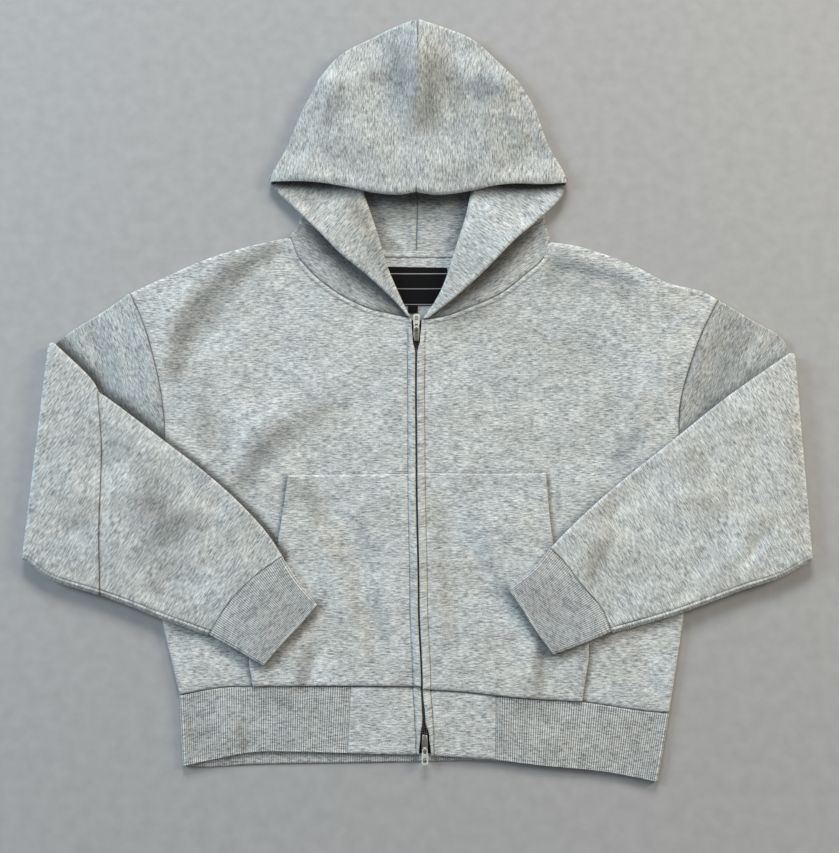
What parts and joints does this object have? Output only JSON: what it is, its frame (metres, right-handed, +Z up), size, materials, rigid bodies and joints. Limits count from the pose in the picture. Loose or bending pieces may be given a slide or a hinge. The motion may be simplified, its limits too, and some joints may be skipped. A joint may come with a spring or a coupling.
{
  "type": "zip up hoodie",
  "caption": "Boxy cropped zip up hoodie in heather grey knit, laid flat with its sleeves folded over the front and the hood's crown folded down.",
  "frame": {"origin": "middle of the garment's base on the floor it lies on", "axes": "+X from the image-left sleeve to the image-right sleeve, +Y from the hem to the hood, +Z up from the floor, through the thickness"},
  "size_m": [0.9214, 0.9354, 0.024],
  "materials": {
    "body_knit": "heather grey double-faced knit, soft and matt",
    "rib_knit": "heather grey rib knit, matt",
    "woven_tape": "flat grey knit tape, matt",
    "woven_label": "black woven satin",
    "zip_tape": "dark woven tape with metal teeth",
    "zip_metal": "nickel plated, polished by wear"
  },
  "bodies": {
    "garment": {"front_left": "body_knit", "front_right": "body_knit", "pocket_left": "body_knit", "pocket_right": "body_knit", "back": "body_knit", "sleeve_left_upper": "body_knit", "sleeve_left_lower": "body_knit", "sleeve_right": "body_knit", "cuff_left": "rib_knit", "cuff_right": "rib_knit", "hem_rib": "rib_knit", "hem_block_left": "body_knit", "hem_block_right": "body_knit", "hood_left": "body_knit", "hood_right": "body_knit", "neck_tape": "woven_tape", "neck_label": "woven_label", "size_tag": "woven_label", "zip_tape_left": "zip_tape", "zip_tape_right": "zip_tape", "slider_top": "zip_metal", "slider_bottom": "zip_metal"},
    "top_tab": {"pull_tab_top": "zip_metal"},
    "bottom_tab": {"pull_tab_bottom": "zip_metal"}
  },
  "joints": [
    {"name": "top_tab_hinge", "type": "hinge", "parent": "garment", "child": "top_tab", "pos_m": [-0.00095, 0.06221, 0.0088], "axis": [1, 0, 0], "range_deg": [0, 165]},
    {"name": "bottom_tab_hinge", "type": "hinge", "parent": "garment", "child": "bottom_tab", "pos_m": [0.00864, -0.43279, 0.0088], "axis": [-1, 0, 0], "range_deg": [0, 165]}
  ]
}
